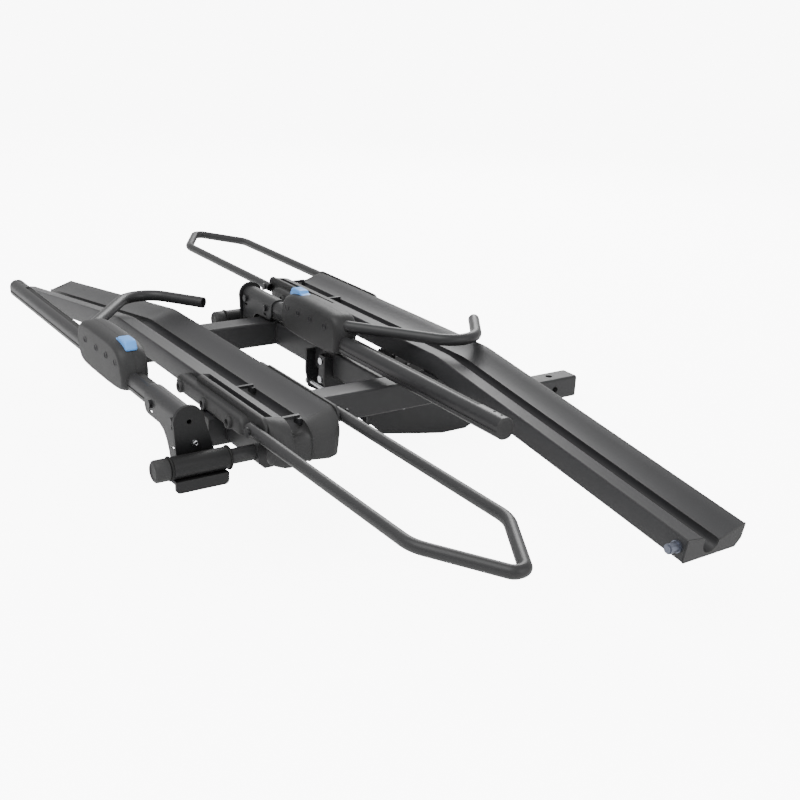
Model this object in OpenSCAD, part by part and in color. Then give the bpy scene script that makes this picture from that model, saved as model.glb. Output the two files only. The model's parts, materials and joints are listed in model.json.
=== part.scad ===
// Two-bike platform rack for a square hitch receiver.
// Origin: centre of the hitch pin hole, on the axis of the tongue.
// +Y points into the receiver, +X across the vehicle, +Z up.

/* [Hitch tongue] */
// Width across the flats of the square tongue
tongue_w = 50.8; // [50.2:0.1:51]
// Wall of the tongue tube
tongue_wall = 5; // [3:0.5:6]
// Length of the tongue ahead of the pin hole
tongue_front = 64; // [50:1:80]
// Diameter of the hitch pin hole
pin_hole_d = 16.2; // [16:0.1:17]

/* [Tilt hinge] */
// Distance of the tilt axis behind the hitch pin
tilt_back = 420; // [410:1:430]
// Height of the tilt axis above the tongue axis
tilt_up = 75; // [72:1:80]
// Radius of the ring of lock holes about the tilt axis
lock_ring_r = 55; // [52:1:58]
// Angle the rack tips down for loading
tilt_down = 20; // [15:1:25]
// Thickness of the hinge plates
hinge_plate_t = 6; // [5:0.5:6]

/* [Frame] */
// Distance of each long beam from the middle
beam_x = 225; // [215:1:235]
// Width of the beams
beam_w = 50; // [40:1:50]
// Height of the beams
beam_h = 52; // [40:1:52]
// Wall of the beams
beam_wall = 3; // [2:0.5:4]

/* [Trays] */
// Height of the tray tops above the tongue axis
tray_top = 223; // [220:1:230]
// Spacing of the two trays
tray_pitch = 430; // [420:1:440]
// Length from the middle to the short end
tray_short = 378; // [370:1:385]
// Length from the middle to the bend
tray_bend = 240; // [220:1:260]
// Length from the middle to the long end
tray_long = 880; // [800:1:900]
// Angle of the sloping wing
wing_angle = 8.3; // [6:0.1:10]
// Width of a tray
tray_w = 125; // [120:1:130]
// Depth of a tray
tray_h = 40; // [38:1:42]

/* [Wheel hoops] */
// Diameter of the hoop tube
hoop_d = 19; // [16:0.5:20]
// Distance of each leg from the tray middle
hoop_half = 79; // [78:0.5:82]
// Distance of the hoop tip from the middle
hoop_tip = 934; // [880:1:960]

/* [Arms] */
// Distance of the arm axle from the middle
axle_x = 348; // [340:1:356]
// Height of the arm axle
axle_z = 153; // [150:1:156]
// Diameter of the axle
axle_d = 25.4; // [24:0.1:26]
// Distance of the arm outboard of the tray middle
arm_out = 158; // [155:1:161]
// Height of the bar axis
bar_z = 210; // [209:0.5:211]
// Distance of the bar end from the middle
bar_end = 567; // [550:1:580]
// Width of the bar
bar_w = 32; // [30:1:34]
// Height of the bar
bar_h = 37; // [34:1:38]
// Diameter of the hook tube
hook_d = 22; // [20:0.5:22]
// Height of the hook tube axis
hook_z = 247; // [245:0.5:248]

/* [Hidden] */
$fn = 48;
row_b_y = -452;
row_a_y = row_b_y - tray_pitch;
spacer_t = 1.9;
beam_top = tray_top - tray_h - spacer_t;
beam_bottom = beam_top - beam_h;
beam_mid = beam_top - beam_h / 2;
cross_y = -584;
right_beam_y = [row_a_y - 90, -400];
left_beam_y = [row_a_y - 22, -400];
tongue_back = 340;
half_tongue = tongue_w / 2;
inner_plate_x = half_tongue;
outer_plate_x = inner_plate_x + hinge_plate_t + 0.6;
lock_y = -tilt_back - lock_ring_r;
running_gap = 0.05;
skin_gap = 0.3;
bend_lap = 0.5;
tray_bend_r = 220;
bend_back = tray_bend_r * tan(wing_angle / 2);
bend_swell = 0.07;
groove_y = -8;
rim_half = tray_w / 2;
hoop_pivot_x = 384;
hoop_z = 205;
mount_in = rim_half + 0.4;
slider_lo = -118;
slider_hi = 108;
grip_shift_b = 31;
plate_x = 314;
plate_t = 6;
channel_x = 185;
sheet = 2.5;
sleeve = [-44, 49];
bolt_x = beam_x - 11;
screw_x = [-73, -18, 30, 74];
boss_x = [118, 212, 306];
hook_turn = 38;
channel_bolt_x = [212, 300];
strip_x = [-500, 170];
post_depth = 14;
post_y = cross_y - beam_w / 2 - post_depth / 2;
post_bolt_z = [122, 160];
tie_points = [[-617, 101], [-598, 95]];

satin = [0.16, 0.16, 0.17];
moulded = [0.22, 0.22, 0.23];
alloy = [0.3, 0.3, 0.31];
zinc = [0.75, 0.76, 0.78];
signal = [0.38, 0.62, 0.92];

// ---- placing ----

// Row A is the outer tray and its arm
module row_a() {
    translate([0, row_a_y, 0]) children();
}

// Row B is the same set turned end for end, nearer the vehicle
module row_b() {
    translate([0, row_b_y, 0]) mirror([1, 0, 0]) children();
}

module both_sides() {
    for (side = [1, -1]) scale_side(side) children();
}

module scale_side(side) {
    if (side > 0) children();
    else mirror([0, 1, 0]) children();
}

// Cylinder along X from x0 to x1
module rod_x(x0, x1, r) {
    translate([x0, 0, 0]) rotate([0, 90, 0]) cylinder(r = r, h = x1 - x0);
}

// Cylinder along Y from y0 to y1
module rod_y(y0, y1, r) {
    translate([0, y1, 0]) rotate([90, 0, 0]) cylinder(r = r, h = y1 - y0);
}

// Outline in Y and Z, extruded from x0 to x1
module slab_x(x0, x1) {
    translate([x0, 0, 0]) rotate([90, 0, 90]) linear_extrude(x1 - x0) children();
}

// Outline in X and Z, extruded from y0 to y1
module slab_y(y0, y1) {
    translate([0, y1, 0]) rotate([90, 0, 0]) linear_extrude(y1 - y0) children();
}

// Rectangle with true round corners
module round_rect(w, h, r) {
    square([w - 2 * r, h], center = true);
    square([w, h - 2 * r], center = true);
    for (sx = [-1, 1], sy = [-1, 1])
        translate([sx * (w / 2 - r), sy * (h / 2 - r)]) circle(r = r);
}

module round_tube(w, h, r, wall) {
    difference() {
        round_rect(w, h, r);
        round_rect(w - 2 * wall, h - 2 * wall, max(r - wall, 0.5));
    }
}

// ---- bent round rod in the X-Y plane ----

function unit(v) = v / norm(v);
function heading(v) = atan2(v[1], v[0]);
function turn(a, b) = let (t = heading(b) - heading(a)) t > 180 ? t - 360 : t < -180 ? t + 360 : t;
function setback(p, i, rb) = (i == 0 || i == len(p) - 1) ? 0
    : rb[i] * tan(abs(turn(p[i] - p[i - 1], p[i + 1] - p[i])) / 2);

// p: corner points, r: tube radius, wall: its wall, rb: bend radius at each corner.
// The bends swell by a hair and the straights run into them, so the pieces always join.
module bent_tube(p, r, wall, rb) {
    for (i = [0 : len(p) - 2]) {
        d = unit(p[i + 1] - p[i]);
        from = p[i] + d * (setback(p, i, rb) - (i == 0 ? 0 : bend_lap));
        to = p[i + 1] - d * (setback(p, i + 1, rb) - (i == len(p) - 2 ? 0 : bend_lap));
        translate([from[0], from[1], 0]) rotate([0, 0, heading(d)]) rotate([90, 0, 90])
            linear_extrude(norm(to - from)) tube_section(r, wall);
    }
    for (i = [1 : len(p) - 2]) {
        d = unit(p[i] - p[i - 1]);
        t = turn(d, p[i + 1] - p[i]);
        left = [-d[1], d[0]] * sign(t);
        centre = p[i] - d * setback(p, i, rb) + left * rb[i];
        translate([centre[0], centre[1], 0]) rotate([0, 0, heading(-left)]) rotate_extrude(angle = t)
            translate([rb[i], 0]) tube_section(r + bend_swell, wall + 2 * bend_swell);
    }
}

module tube_section(r, wall) {
    difference() {
        circle(r = r);
        circle(r = r - wall);
    }
}

// ---- hitch tongue and tilt hinge ----

module tilt_axis() {
    translate([0, -tilt_back, tilt_up]) children();
}

module hitch_tongue() {
    color(satin) difference() {
        slab_y(-tongue_back, tongue_front) round_tube(tongue_w, tongue_w, 6, tongue_wall);
        cylinder(d = pin_hole_d, h = tongue_w + 2, center = true);
        rotate([0, 90, 0]) cylinder(d = pin_hole_d, h = tongue_w + 2, center = true);
    }
}

// Side plates of the tilt bracket, welded to the tongue
module tilt_plate_outline() {
    polygon([[-518, 14], [-506, 6], [-480, -17], [-392, -33], [-325, -44], [-262, -44], [-215, -24],
        [-205, 22], [-330, 30], [-372, 80], [-384, 148], [-456, 148], [-500, 100], [-520, 60]]);
}

module tilt_plates() {
    color(satin) for (x0 = [-inner_plate_x - hinge_plate_t, inner_plate_x]) difference() {
        slab_x(x0, x0 + hinge_plate_t) tilt_plate_outline();
        tilt_axis() rod_x(-60, 60, 8 + running_gap);
        for (a = [-tilt_down, 0, 45, 90]) tilt_axis() rotate([-a, 0, 0])
            translate([0, -lock_ring_r, 0]) rod_x(-60, 60, 6.4);
    }
}

// Stiffening web between the plates, on top of the tongue
module tongue_gusset() {
    color(satin) translate([0, 0, half_tongue]) slab_x(-half_tongue + 0.2, half_tongue - 0.2)
        polygon([[-340, 0], [-490, 0], [-490, 6], [-346, 6], [-346, 14], [-340, 14]]);
}

module pivot_bolt() {
    color(zinc) tilt_axis() {
        rod_x(-outer_plate_x - hinge_plate_t - 14, outer_plate_x + hinge_plate_t + 1, 8);
        translate([outer_plate_x + hinge_plate_t + 0.5, 0, 0]) rotate([0, 90, 0])
            cylinder(r = 13.5, h = 9, $fn = 6);
    }
}

module pivot_nut() {
    x1 = -outer_plate_x - hinge_plate_t - 0.5;
    color(zinc) tilt_axis() difference() {
        translate([x1 - 12, 0, 0]) rotate([0, 90, 0]) cylinder(r = 13.5, h = 12, $fn = 6);
        rod_x(x1 - 13, x1 + 1, 8 + skin_gap);
    }
}

// ---- frame ----

module beam(x, span) {
    color(satin) difference() {
        translate([x, 0, beam_mid]) slab_y(span[0], span[1])
            round_tube(beam_w, beam_h, 5, beam_wall);
        for (y = [row_a_y, row_b_y]) translate([sign(x) * bolt_x, y + groove_y, beam_top - 10])
            cylinder(r = 4.3, h = 20);
    }
}

module beam_left() {
    beam(-beam_x, left_beam_y);
}

module beam_right() {
    beam(beam_x, right_beam_y);
}

module cross_beam() {
    reach = beam_x - beam_w / 2;
    color(satin) translate([0, cross_y, beam_mid]) slab_x(-reach, reach)
        round_tube(beam_w, beam_h, 5, beam_wall);
}

module beam_end_plugs() {
    color(moulded) for (end = [[-beam_x, left_beam_y[0], 1], [-beam_x, left_beam_y[1], -1],
            [beam_x, right_beam_y[0], 1], [beam_x, right_beam_y[1], -1]])
        translate([end[0], end[1], beam_mid]) scale_side(end[2]) {
            slab_y(-3, 0) round_rect(beam_w, beam_h, 5);
            slab_y(0, 5) round_tube(beam_w - 2 * beam_wall - 0.6, beam_h - 2 * beam_wall - 0.6, 2, 2);
        }
}

// Plates that carry the frame on the tilt hinge
module spine_outline() {
    polygon([[-629, 170], [-609, 170], [-609, beam_bottom], [-392, beam_bottom], [-392, 60],
        [-404, 48], [-440, 44], [-520, 52], [-590, 73], [-622, 90], [-629, 125]]);
}

module spine_plates() {
    color(satin) for (x0 = [-outer_plate_x - hinge_plate_t, outer_plate_x]) difference() {
        slab_x(x0, x0 + hinge_plate_t) spine_outline();
        tilt_axis() rod_x(-60, 60, 8 + running_gap);
        translate([0, lock_y, tilt_up]) rod_x(-60, 60, 6 + running_gap);
        for (p = tie_points) translate([0, p[0], p[1]]) rod_x(-60, 60, 5.1);
    }
}

module post_tube() {
    color(satin) translate([outer_plate_x - 14.2, post_y, 0]) difference() {
        translate([0, 0, 112]) linear_extrude(58) round_tube(27.8, post_depth, 3, 2.5);
        for (z = post_bolt_z) translate([0, 0, z]) rod_y(-20, 20, 4);
    }
}

// Plated bolts: two through the post, two that tie the plates together
module post_bolts() {
    tie_half = outer_plate_x + hinge_plate_t;
    color(zinc) for (z = post_bolt_z) translate([outer_plate_x - 14.2, post_y, z]) {
        rod_y(-post_depth / 2 - 1, post_depth / 2 - 0.1, 3.9);
        rod_y(-post_depth / 2 - 5, -post_depth / 2 - 0.1, 7);
    }
    color(zinc) for (p = tie_points) translate([0, p[0], p[1]]) {
        rod_x(-tie_half - 1, tie_half + 1, 5);
        rod_x(tie_half + 0.1, tie_half + 5, 8);
        rod_x(-tie_half - 5, -tie_half - 0.1, 8);
    }
}

module pivot_bush() {
    color(zinc) tilt_axis() difference() {
        rod_x(-inner_plate_x + 0.3, inner_plate_x - 0.3, 13);
        rod_x(-inner_plate_x, inner_plate_x, 8 + running_gap);
    }
}

// Cup that guides the sprung lock pin
module lock_pin_housing() {
    x0 = outer_plate_x + hinge_plate_t;
    color(satin) translate([0, lock_y, tilt_up]) difference() {
        rod_x(x0, x0 + 46, 12);
        rod_x(x0 - 1, x0 + 42, 9);
        rod_x(x0 + 41, x0 + 47, 4 + running_gap);
    }
}

module tilt_lock_pin() {
    x0 = outer_plate_x + hinge_plate_t;
    color(zinc) translate([0, lock_y, tilt_up]) {
        rod_x(outer_plate_x + 0.2, x0 + 14, 6);
        rod_x(x0 + 11, x0 + 14, 8.6);
        rod_x(x0 + 13, x0 + 60, 4);
        rod_x(x0 + 48, x0 + 60, 15);
    }
}

module tilt_lock_spring() {
    x0 = outer_plate_x + hinge_plate_t + 14.2;
    turns = 5;
    color(zinc) translate([0, lock_y, tilt_up]) for (i = [0 : turns - 1])
        translate([x0 + 1 + i * 3.1, 0, 0]) rotate([0, 90, 0])
            rotate_extrude() translate([6.6, 0]) circle(r = 1, $fn = 16);
}

// ---- trays ----

// Half-section points: rims stand above a round wheel groove
module tray_outline() {
    difference() {
        polygon([[-rim_half, 0], [groove_y - 18, -6], [groove_y - 14, -9], [groove_y + 14, -20],
            [groove_y + 19, -17], [rim_half, 0], [rim_half - 1, -26], [rim_half - 11, -tray_h],
            [-rim_half + 1, -tray_h]]);
        translate([groove_y, -17]) circle(r = 17);
        translate([groove_y - 17, -17]) square([34, 20]);
        polygon([[-rim_half + 3, -3.5], [groove_y - 21, -9], [groove_y - 20, -tray_h + 6],
            [-rim_half + 4, -tray_h + 3]]);
        polygon([[groove_y + 21, -20], [rim_half - 3, -5], [rim_half - 4, -25],
            [rim_half - 13, -tray_h + 3], [groove_y + 21, -tray_h + 3]]);
    }
}

module wing() {
    translate([-tray_bend, 0, tray_top]) rotate([0, -wing_angle, 0]) children();
}

wing_len = (tray_long - tray_bend) / cos(wing_angle);

// Short curved run between the level part and the wing, swollen by a hair so that it joins both
module tray_curve() {
    translate([-tray_bend + bend_back, 0, tray_top - tray_bend_r]) rotate([90, 0, 0]) rotate([0, 0, 90])
        rotate_extrude(angle = wing_angle) translate([tray_bend_r, 0]) rotate(-90)
            offset(delta = bend_swell) tray_outline();
}

module tray() {
    color(alloy) {
        difference() {
            translate([0, 0, tray_top]) slab_x(-tray_bend + bend_back - bend_lap, tray_short) tray_outline();
            for (x = [-bolt_x, bolt_x]) translate([x, groove_y, tray_top - 60]) cylinder(r = 4.3, h = 50);
            translate([150, -rim_half + 4.5, tray_top - 20]) cube([tray_short - 149, 25.5, 25]);
        }
        tray_curve();
        wing() slab_x(-wing_len, -bend_back + bend_lap) tray_outline();
    }
}

module tray_a() {
    row_a() tray();
}

module tray_b() {
    row_b() tray();
}

// Moulded plug that closes the long end of a tray
module end_cap() {
    wing() {
        slab_x(-wing_len - 3, -wing_len) difference() {
            polygon([[-rim_half, 0], [groove_y - 18, -6], [groove_y + 19, -17], [rim_half, 0],
                [rim_half - 1, -26], [rim_half - 11, -tray_h], [-rim_half + 1, -tray_h]]);
            translate([groove_y, -17]) circle(r = 17);
            translate([groove_y - 17, -17]) square([34, 20]);
        }
        slab_x(-wing_len, -wing_len + 18) polygon([[-rim_half + 5, -6], [groove_y - 23, -12],
            [groove_y - 23, -tray_h + 8], [-rim_half + 6, -tray_h + 5]]);
    }
}

module tray_end_caps() {
    color(moulded) {
        row_a() end_cap();
        row_b() end_cap();
    }
}

// Deep moulded nose at the short end, with the groove running down it
module wheel_cap() {
    nose_r = 45;
    depth = 78;
    nose_x = tray_short + 3;
    x1 = nose_x + nose_r;
    groove_r = 17;
    sweep_r = nose_r - groove_r;
    color(moulded) translate([0, 0, tray_top]) difference() {
        intersection() {
            slab_y(-rim_half, rim_half) union() {
                translate([tray_short, -depth]) square([nose_x - tray_short, depth]);
                translate([tray_short, -depth + 14]) square([x1 - tray_short, depth - 14 - nose_r]);
                translate([nose_x, -nose_r]) circle(r = nose_r);
                translate([x1 - 14, -depth + 14]) circle(r = 14);
                translate([tray_short, -depth]) square([x1 - tray_short - 14, 20]);
            }
            translate([0, 0, -depth - 1]) linear_extrude(depth + 2) union() {
                translate([tray_short, -rim_half]) square([x1 - tray_short - 22, tray_w]);
                translate([tray_short, -rim_half + 22]) square([x1 - tray_short, tray_w - 44]);
                for (y = [-rim_half + 22, rim_half - 22]) translate([x1 - 22, y]) circle(r = 22);
            }
        }
        translate([0, groove_y, -groove_r]) rod_x(tray_short - 1, nose_x + bend_lap, groove_r);
        translate([tray_short - 1, groove_y - groove_r, -groove_r])
            cube([nose_x - tray_short + 1 + bend_lap, 2 * groove_r, 20]);
        translate([nose_x, groove_y, -nose_r]) rotate([90, 0, 0]) rotate_extrude(angle = 90)
            translate([sweep_r, 0]) {
                circle(r = groove_r + bend_swell);
                translate([0, -groove_r - bend_swell])
                    square([groove_r + 4, 2 * (groove_r + bend_swell)]);
            }
        translate([nose_x + sweep_r, groove_y, -depth + 10]) {
            cylinder(r = groove_r, h = depth - 10 - nose_r + bend_lap);
            translate([0, -groove_r, 0])
                cube([groove_r + 4, 2 * groove_r, depth - 10 - nose_r + bend_lap]);
        }
        translate([nose_x + sweep_r, groove_y, -depth - 1]) cylinder(r = 5, h = 14);
        slab_y(-rim_half + 4, rim_half - 4) translate([tray_short - 1, -depth - 1]) square([18, 19]);
    }
}

module wheel_cap_a() {
    row_a() wheel_cap();
}

module wheel_cap_b() {
    row_b() wheel_cap();
}

// Side mount of one hoop leg: a block with three screw bosses and an upright fin
module hoop_mount() {
    color(moulded) difference() {
        union() {
            slab_y(-mount_in - 24, -mount_in) union() {
                translate([110, tray_top - 41]) square([242, 31]);
                translate([110, tray_top - 25.5]) circle(r = 15.5);
            }
            for (x = boss_x) translate([x, 0, tray_top - 29.5]) rod_y(-mount_in - 26, -mount_in, 11);
            slab_y(-mount_in - 5, -mount_in) union() {
                translate([165, hoop_z - 12]) square([hoop_pivot_x - 165, 32]);
                translate([hoop_pivot_x, hoop_z + 4]) circle(r = 16);
                translate([165, hoop_z + 4]) circle(r = 16);
            }
        }
        for (x = boss_x) translate([x, 0, tray_top - 29.5]) rod_y(-mount_in - 27, -mount_in - 18, 5);
        translate([hoop_pivot_x, 0, hoop_z]) rod_y(-mount_in - 30, -mount_in + 1, 4 + skin_gap);
    }
}

module hoop_mount_pair() {
    both_sides() hoop_mount();
}

module hoop_mounts_a() {
    row_a() hoop_mount_pair();
}

module hoop_mounts_b() {
    row_b() hoop_mount_pair();
}

module pivot_pins() {
    both_sides() translate([hoop_pivot_x, 0, hoop_z]) {
        rod_y(-hoop_half - hoop_d / 2 - 0.5, -mount_in, 4);
        rod_y(-hoop_half - hoop_d / 2 - 3.5, -hoop_half - hoop_d / 2 - 0.5, 8);
    }
}

module hoop_pivot_pins() {
    color(satin) {
        row_a() pivot_pins();
        row_b() pivot_pins();
    }
}

// Small bridges that clip across the wheel groove
module clips() {
    for (x = [212, 372]) translate([x, groove_y, tray_top - 13]) {
        translate([-3, -16, -1]) cube([6, 32, 5]);
        translate([-3, 8, -9]) cube([14, 7, 10]);
    }
}

module groove_clips() {
    color(satin) {
        row_a() clips();
        row_b() clips();
    }
}

// Drawn from the underside of the tray: spacer, shank, domed head above and nut in the beam
module tray_bolt() {
    translate([0, 0, -spacer_t]) cylinder(r = 9, h = spacer_t);
    translate([0, 0, -14]) cylinder(r = 3.9, h = 21.5);
    translate([0, 0, 7.1]) cylinder(r1 = 5.3, r2 = 4.3, h = 3);
    translate([0, 0, -spacer_t - beam_wall - 6]) cylinder(r = 7.5, h = 5.9, $fn = 6);
}

module tray_bolts() {
    color(zinc) for (x = [-bolt_x, bolt_x]) {
        row_a() translate([x, groove_y, tray_top - tray_h]) tray_bolt();
        row_b() translate([x, groove_y, tray_top - tray_h]) tray_bolt();
    }
}

// Small anchors for the rear wheel strap on the tray's far rim
module anchors() {
    for (x = [-62, -142]) translate([x, rim_half, tray_top - 14]) {
        rod_y(0, 7, 9);
        rod_y(7, 11, 5);
    }
}

module strap_anchors() {
    color(satin) {
        row_a() anchors();
        row_b() anchors();
    }
}

// ---- axles ----

module axle() {
    translate([axle_x, 0, axle_z]) children();
}

module shaft() {
    axle() difference() {
        rod_y(-arm_out - 68, -20, axle_d / 2);
        rod_y(-arm_out - 69, -19, axle_d / 2 - 3);
    }
}

module axle_shafts() {
    color(satin) {
        row_a() shaft();
        row_b() shaft();
    }
}

module axle_plug() {
    axle() {
        difference() {
            rod_y(-arm_out - 71, -arm_out + sleeve[0] - 5.2, 18);
            rod_y(-arm_out - 68.3, -arm_out, axle_d / 2 + skin_gap);
        }
        translate([0, -arm_out - 71, 0]) rotate([90, 0, 0]) cylinder(r1 = 18, r2 = 15, h = 3);
    }
}

module axle_plugs() {
    color(moulded) {
        row_a() axle_plug();
        row_b() axle_plug();
    }
}

module rings() {
    axle() for (y = [sleeve[0] - 4.9, sleeve[1] + 0.3]) translate([0, -arm_out + y, 0]) difference() {
        rod_y(0, 4.6, 19.5);
        rod_y(-1, 6, axle_d / 2 + skin_gap);
    }
}

module axle_rings() {
    color("black") {
        row_a() rings();
        row_b() rings();
    }
}

// Folded bracket that ties the axle to the long beam under the tray
module axle_bracket() {
    inner = beam_x + beam_w / 2;
    reach = axle_x + 18 - inner;
    color(satin) difference() {
        translate([inner, 0, 0]) slab_x(0, reach) polygon([[-61, beam_top], [-61, axle_z - 14],
            [-50, axle_z - 24], [-34, axle_z - 24], [-26, axle_z - 14], [-26, beam_top]]);
        axle() rod_y(-80, -10, axle_d / 2 + skin_gap);
        translate([inner - 1, 0, 0]) slab_x(0, reach - 40) polygon([[-56, beam_top - 6], [-56, axle_z - 10],
            [-48, axle_z - 18], [-36, axle_z - 18], [-31, axle_z - 10], [-31, beam_top - 6]]);
    }
}

module axle_brackets() {
    row_a() axle_bracket();
    row_b() axle_bracket();
}

module cable_lock() {
    color(satin) row_b() wing() translate([-wing_len + 14, -rim_half, -19]) {
        rod_y(-4, -0.2, 10);
        rod_y(-20, -4, 8);
        rod_y(-22, -20, 6.5);
    }
}

// ---- arms ----

module arm_plane() {
    translate([0, -arm_out, 0]) children();
}

// Upright plate folded under the pivot sleeve, with a turned-down lip
module arm_base() {
    lip_x = axle_x + 12;
    color(satin) arm_plane() difference() {
        union() {
            slab_x(plate_x, plate_x + plate_t) union() {
                translate([0, bar_z + 2.5]) circle(r = 26.5);
                polygon([[-26.4, bar_z + 2], [26.4, bar_z + 2], [43, 156], [46, 130], [-43, 130], [-22, 152]]);
            }
            translate([plate_x, -43, 130]) cube([lip_x + plate_t - plate_x, 89, 5.9]);
            slab_x(lip_x, lip_x + plate_t) translate([1.5, 126]) round_rect(89, 19.8, 7);
            axle() rod_y(sleeve[0], sleeve[1], 18);
        }
        axle() rod_y(sleeve[0] - 1, sleeve[1] + 1, axle_d / 2 + running_gap);
        translate([0, 0, bar_z + 2.5]) rod_x(plate_x - 2, plate_x + 10, 4);
    }
}

// Pressed half-round sleeve that wraps the bar and reaches down beside the axle
module arm_channel() {
    inner = bar_w / 2 + skin_gap;
    end = plate_x - 0.2;
    color(alloy) arm_plane() difference() {
        union() {
            intersection() {
                translate([0, 0, bar_z]) slab_x(channel_x, end)
                    round_rect(2 * (inner + sheet), bar_h + 2 * (sheet + skin_gap), 16.5);
                translate([channel_x - 5, -30, bar_z - 2]) cube([200, 60, 40]);
            }
            for (y0 = [-inner - sheet, inner]) slab_y(y0, y0 + sheet)
                polygon([[channel_x, bar_z + 4], [channel_x, 198], [channel_x + 6, 190], [channel_x + 16, 188],
                    [246, 188], [262, 182], [274, 170], [283, 154], [288, 138], [end, 136], [end, bar_z + 4]]);
        }
        translate([0, 0, bar_z]) slab_x(channel_x - 5, end + 5)
            round_rect(2 * inner, bar_h + 2 * skin_gap, 14.3);
        for (x = channel_bolt_x) translate([x, 0, bar_z - 1]) rod_y(-40, 40, 4);
        for (p = [[212, 196], [300, 196], [299, 164]]) translate([p[0], 0, p[1]])
            slab_y(-40, 40) round_rect(13, 4.4, 2);
    }
}

module arm_bolts() {
    outer = bar_w / 2 + skin_gap + sheet;
    color(zinc) arm_plane() for (x = channel_bolt_x) translate([x, 0, bar_z - 1]) {
        rod_y(-outer - 1, outer + 1, 3.9);
        rod_y(-outer - 5, -outer - 0.1, 7);
        rod_y(outer + 0.1, outer + 5, 7);
    }
    color(zinc) arm_plane() translate([0, 9, 176]) rod_x(plate_x + plate_t + 0.1, plate_x + plate_t + 4, 5.5);
}

// Extruded bar with two side grooves and a slot in its top
module arm_bar() {
    color(satin) arm_plane() difference() {
        translate([0, 0, bar_z]) slab_x(-bar_end, plate_x - 2) difference() {
            round_tube(bar_w, bar_h, 14, 3.5);
            for (side = [-1, 1], z = [-3, -10]) translate([side * bar_w / 2, z]) square([3, 3], center = true);
        }
        translate([strip_x[0], -3, bar_z + bar_h / 2 - 3]) cube([strip_x[1] - strip_x[0], 12, 4]);
        for (x = channel_bolt_x) translate([x, 0, bar_z - 1]) rod_y(-40, 40, 4);
        for (x = [-bar_end + 12, -bar_end + 30]) translate([x, 2, bar_z + 5]) cylinder(r = 2.5, h = 30);
    }
}

module ratchet_strip() {
    pitch = 10;
    color("black") arm_plane() difference() {
        translate([strip_x[0] + 1, -2.8, bar_z + bar_h / 2 - 2.8])
            cube([strip_x[1] - strip_x[0] - 2, 11.6, 2.4]);
        for (x = [strip_x[0] + 4 : pitch : strip_x[1] - 6]) translate([x, -3, bar_z + bar_h / 2 - 1.6])
            cube([4, 12, 3]);
    }
}

module bar_cap() {
    color(moulded) arm_plane() translate([-bar_end, 0, bar_z]) {
        slab_x(-4, 0) round_rect(bar_w, bar_h, 14);
        slab_x(0, 10) round_rect(bar_w - 8, bar_h - 8, 11.5);
    }
}

// ---- sliding grips ----

// Side view of the grip
module grip_outline(inset) {
    offset(delta = -inset) polygon([[-118, 206], [-120, 235], [-113, 256], [-97, 267], [-50, 271], [40, 271],
        [80, 265], [98, 247], [slider_hi, 220], [105, 200], [95, 189], [60, 186.5], [-78, 186.5], [-104, 191]]);
}

// Near half of the shell: a rounded egg with two lugs on its lower edge
module grip_half() {
    difference() {
        union() {
            hull() {
                slab_y(-15, -0.1) grip_outline(0);
                slab_y(-21, -20) grip_outline(4);
                slab_y(-25, -24.5) grip_outline(13);
            }
            for (x = [-61, 15]) translate([x, 0, 188]) rod_y(-17, -8, 6);
        }
        grip_inside();
    }
}

// Space inside the grip for the bar, the pawl, the button and the hook tube
module grip_inside() {
    translate([0, 0, bar_z]) slab_x(slider_lo - 5, slider_hi + 5)
        square([bar_w + 1.2, bar_h + 1.2], center = true);
    translate([-48, -13, bar_z]) cube([50, 26, 47.5]);
    translate([1, -10.8, 251]) cube([93, 21.6, 40]);
    translate([slider_lo - 5, 0, hook_z]) rod_x(0, 60, hook_d / 2 + skin_gap);
    translate([-112, 0, hook_z]) rotate([0, 0, -hook_turn]) rod_x(-45, 0, hook_d / 2 + 2);
    translate([-112, 0, hook_z]) rod_x(-20, 10, hook_d / 2 + 2);
}

module grip_near() {
    color(moulded) arm_plane() difference() {
        grip_half();
        for (x = screw_x) translate([x, 0, 239]) rod_y(-30, -17.5, 4.5);
    }
}

module grip_far() {
    color(moulded) arm_plane() mirror([0, 1, 0]) difference() {
        grip_half();
        translate([-112, 0, hook_z]) rotate([0, 0, hook_turn]) rod_x(-45, 0, hook_d / 2 + 2);
    }
}

module grip_screws() {
    color(satin) arm_plane() for (x = screw_x) translate([x, 0, 239]) rod_y(-22, -17.6, 4.2);
}

// Round tube that reaches over the tyre and turns back
module hook() {
    color(satin) arm_plane() translate([0, 0, hook_z])
        bent_tube([[-72, 0], [-112, 0], [-318, 160], [-180, 256]], hook_d / 2, 2.2, [0, 26, 58, 0]);
}

// Thumb button on the top of the grip
module release_button() {
    color(signal) arm_plane() slab_y(-10.4, 10.4)
        polygon([[4, 258], [8, 267], [47, 272], [52, 278], [84, 278], [91, 262], [86, 258]]);
}

// Sprung pawl that the button lifts out of the strip
module pawl() {
    tip = bar_z + bar_h / 2 + 0.8;
    color(zinc) arm_plane() translate([0, 3, 0]) slab_y(-5.2, 5.2)
        polygon([[-44, 240], [-44, 252], [-2, 252], [-2, 244], [-20, 240], [-24, tip], [-28, tip], [-30, 240]]);
}

// ---- hoops ----

module hoop() {
    start = hoop_pivot_x - 14;
    bend_x = 815;
    tip_half = 9;
    path = [[start, -hoop_half], [bend_x, -hoop_half], [hoop_tip, -tip_half], [hoop_tip, tip_half],
        [bend_x, hoop_half], [start, hoop_half]];
    radii = [0, 70, 13, 13, 70, 0];
    color(satin) difference() {
        translate([0, 0, hoop_z]) bent_tube(path, hoop_d / 2, 1.8, radii);
        translate([hoop_pivot_x, 0, hoop_z]) rod_y(-100, 100, 4 + running_gap);
    }
}

// ---- nodes ----

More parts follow.
